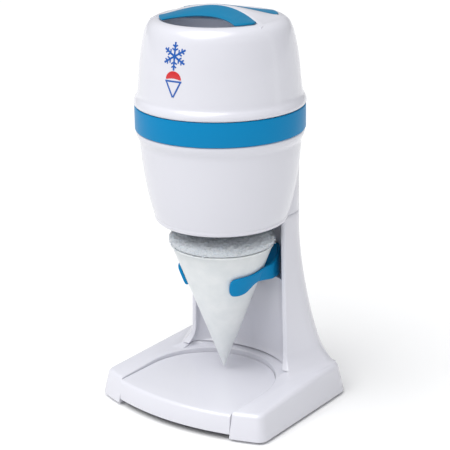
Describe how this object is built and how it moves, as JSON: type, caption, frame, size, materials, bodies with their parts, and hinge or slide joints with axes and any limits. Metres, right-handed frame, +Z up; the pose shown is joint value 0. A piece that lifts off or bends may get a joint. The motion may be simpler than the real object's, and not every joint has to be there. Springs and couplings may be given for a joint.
{
  "type": "shaved ice machine",
  "caption": "Countertop shaved ice machine: a motor head lifts off a hopper barrel held by a flared stand over a paper cone cup and a slide-out drip tray.",
  "frame": {"origin": "on the surface that the rubber feet stand on, at the middle of the footprint", "axes": "+Z up along the barrel, -Y towards the front where the cup and the drip tray come out, +X to the machine's left as it faces the user"},
  "size_m": [0.1678, 0.1491, 0.3303],
  "materials": {
    "white_plastic": "high-gloss injection-moulded ABS, cool white",
    "blue_plastic": "satin-gloss cyan-blue ABS",
    "blue_grip": "soft-touch cyan-blue over-moulding",
    "grey_plastic": "fine-textured grey ABS",
    "hopper_plastic": "glossy food-grade polypropylene",
    "stainless_steel": "brushed stainless",
    "zinc_steel": "zinc-plated",
    "bronze": "sintered, oiled",
    "copper": "enamelled winding",
    "nylon": "natural nylon",
    "rubber": "matte black",
    "paper": "waxed paper, pale, matte",
    "ice": "coarse shaved ice, wet sparkle"
  },
  "bodies": {
    "stand_and_barrel": {"stand": "white_plastic", "column_back_cover": "white_plastic", "base_plate": "grey_plastic", "base_screw_1": "zinc_steel", "base_screw_2": "zinc_steel", "base_screw_3": "zinc_steel", "base_screw_4": "zinc_steel", "foot_1": "rubber", "foot_2": "rubber", "foot_3": "rubber", "foot_4": "rubber", "hopper_housing": "white_plastic", "neck_screw_left": "zinc_steel", "neck_screw_right": "zinc_steel", "barrel_band": "blue_plastic", "ice_hopper": "hopper_plastic", "blade_plate": "stainless_steel", "shaving_blade": "stainless_steel", "blade_screw_1": "zinc_steel", "blade_screw_2": "zinc_steel", "snow_chute": "hopper_plastic"},
    "tray": {"drip_tray": "white_plastic"},
    "holder": {"cone_holder": "blue_plastic"},
    "cup": {"cone_cup": "paper", "shaved_ice": "ice"},
    "motor_head": {"head_shell": "white_plastic", "front_grip": "blue_grip", "rear_grip": "blue_grip", "head_base": "grey_plastic", "head_screw_1": "zinc_steel", "head_screw_2": "zinc_steel", "head_screw_3": "zinc_steel", "gear_deck": "zinc_steel", "idler_pin": "stainless_steel", "motor_can": "zinc_steel", "motor_stator": "copper", "shaft_bush": "bronze", "start_switch": "rubber", "cord_gland": "rubber"},
    "ice_drive": {"drive_shaft": "stainless_steel", "output_gear": "nylon", "ice_paddle": "nylon"},
    "idler": {"idler_gear": "nylon"},
    "rotor": {"motor_rotor": "stainless_steel"},
    "plunger": {"start_plunger": "nylon", "plunger_spring": "stainless_steel"}
  },
  "joints": [
    {"name": "head_lift", "type": "slide", "parent": "stand_and_barrel", "child": "motor_head", "axis": [0, 0, 1], "range_m": [0, 0.09]},
    {"name": "paddle_spin", "type": "hinge", "parent": "motor_head", "child": "ice_drive", "pos_m": [0, 0.00215, 0.262], "axis": [0, 0, 1], "continuous": true},
    {"name": "idler_spin", "type": "hinge", "parent": "motor_head", "child": "idler", "pos_m": [-0.00573, 0.03465, 0.266], "axis": [0, 0, 1], "continuous": true},
    {"name": "rotor_spin", "type": "hinge", "parent": "motor_head", "child": "rotor", "pos_m": [-0.02385, 0.01074, 0.286], "axis": [0, 0, 1], "continuous": true},
    {"name": "plunger_press", "type": "slide", "parent": "motor_head", "child": "plunger", "axis": [0, 0, 1], "range_m": [0, 0.003], "stiffness_N_per_m": 800},
    {"name": "tray_slide", "type": "slide", "parent": "stand_and_barrel", "child": "tray", "axis": [0, -1, 0], "range_m": [0, 0.11]},
    {"name": "holder_slide", "type": "slide", "parent": "stand_and_barrel", "child": "holder", "axis": [0, -1, 0], "range_m": [0, 0.12]},
    {"name": "cup_lift", "type": "slide", "parent": "holder", "child": "cup", "axis": [0, 0, 1], "range_m": [0, 0.006]}
  ],
  "couplings": [
    {"joint": "idler_spin", "follows": "rotor_spin", "ratio": -0.33333},
    {"joint": "paddle_spin", "follows": "rotor_spin", "ratio": 0.125}
  ]
}
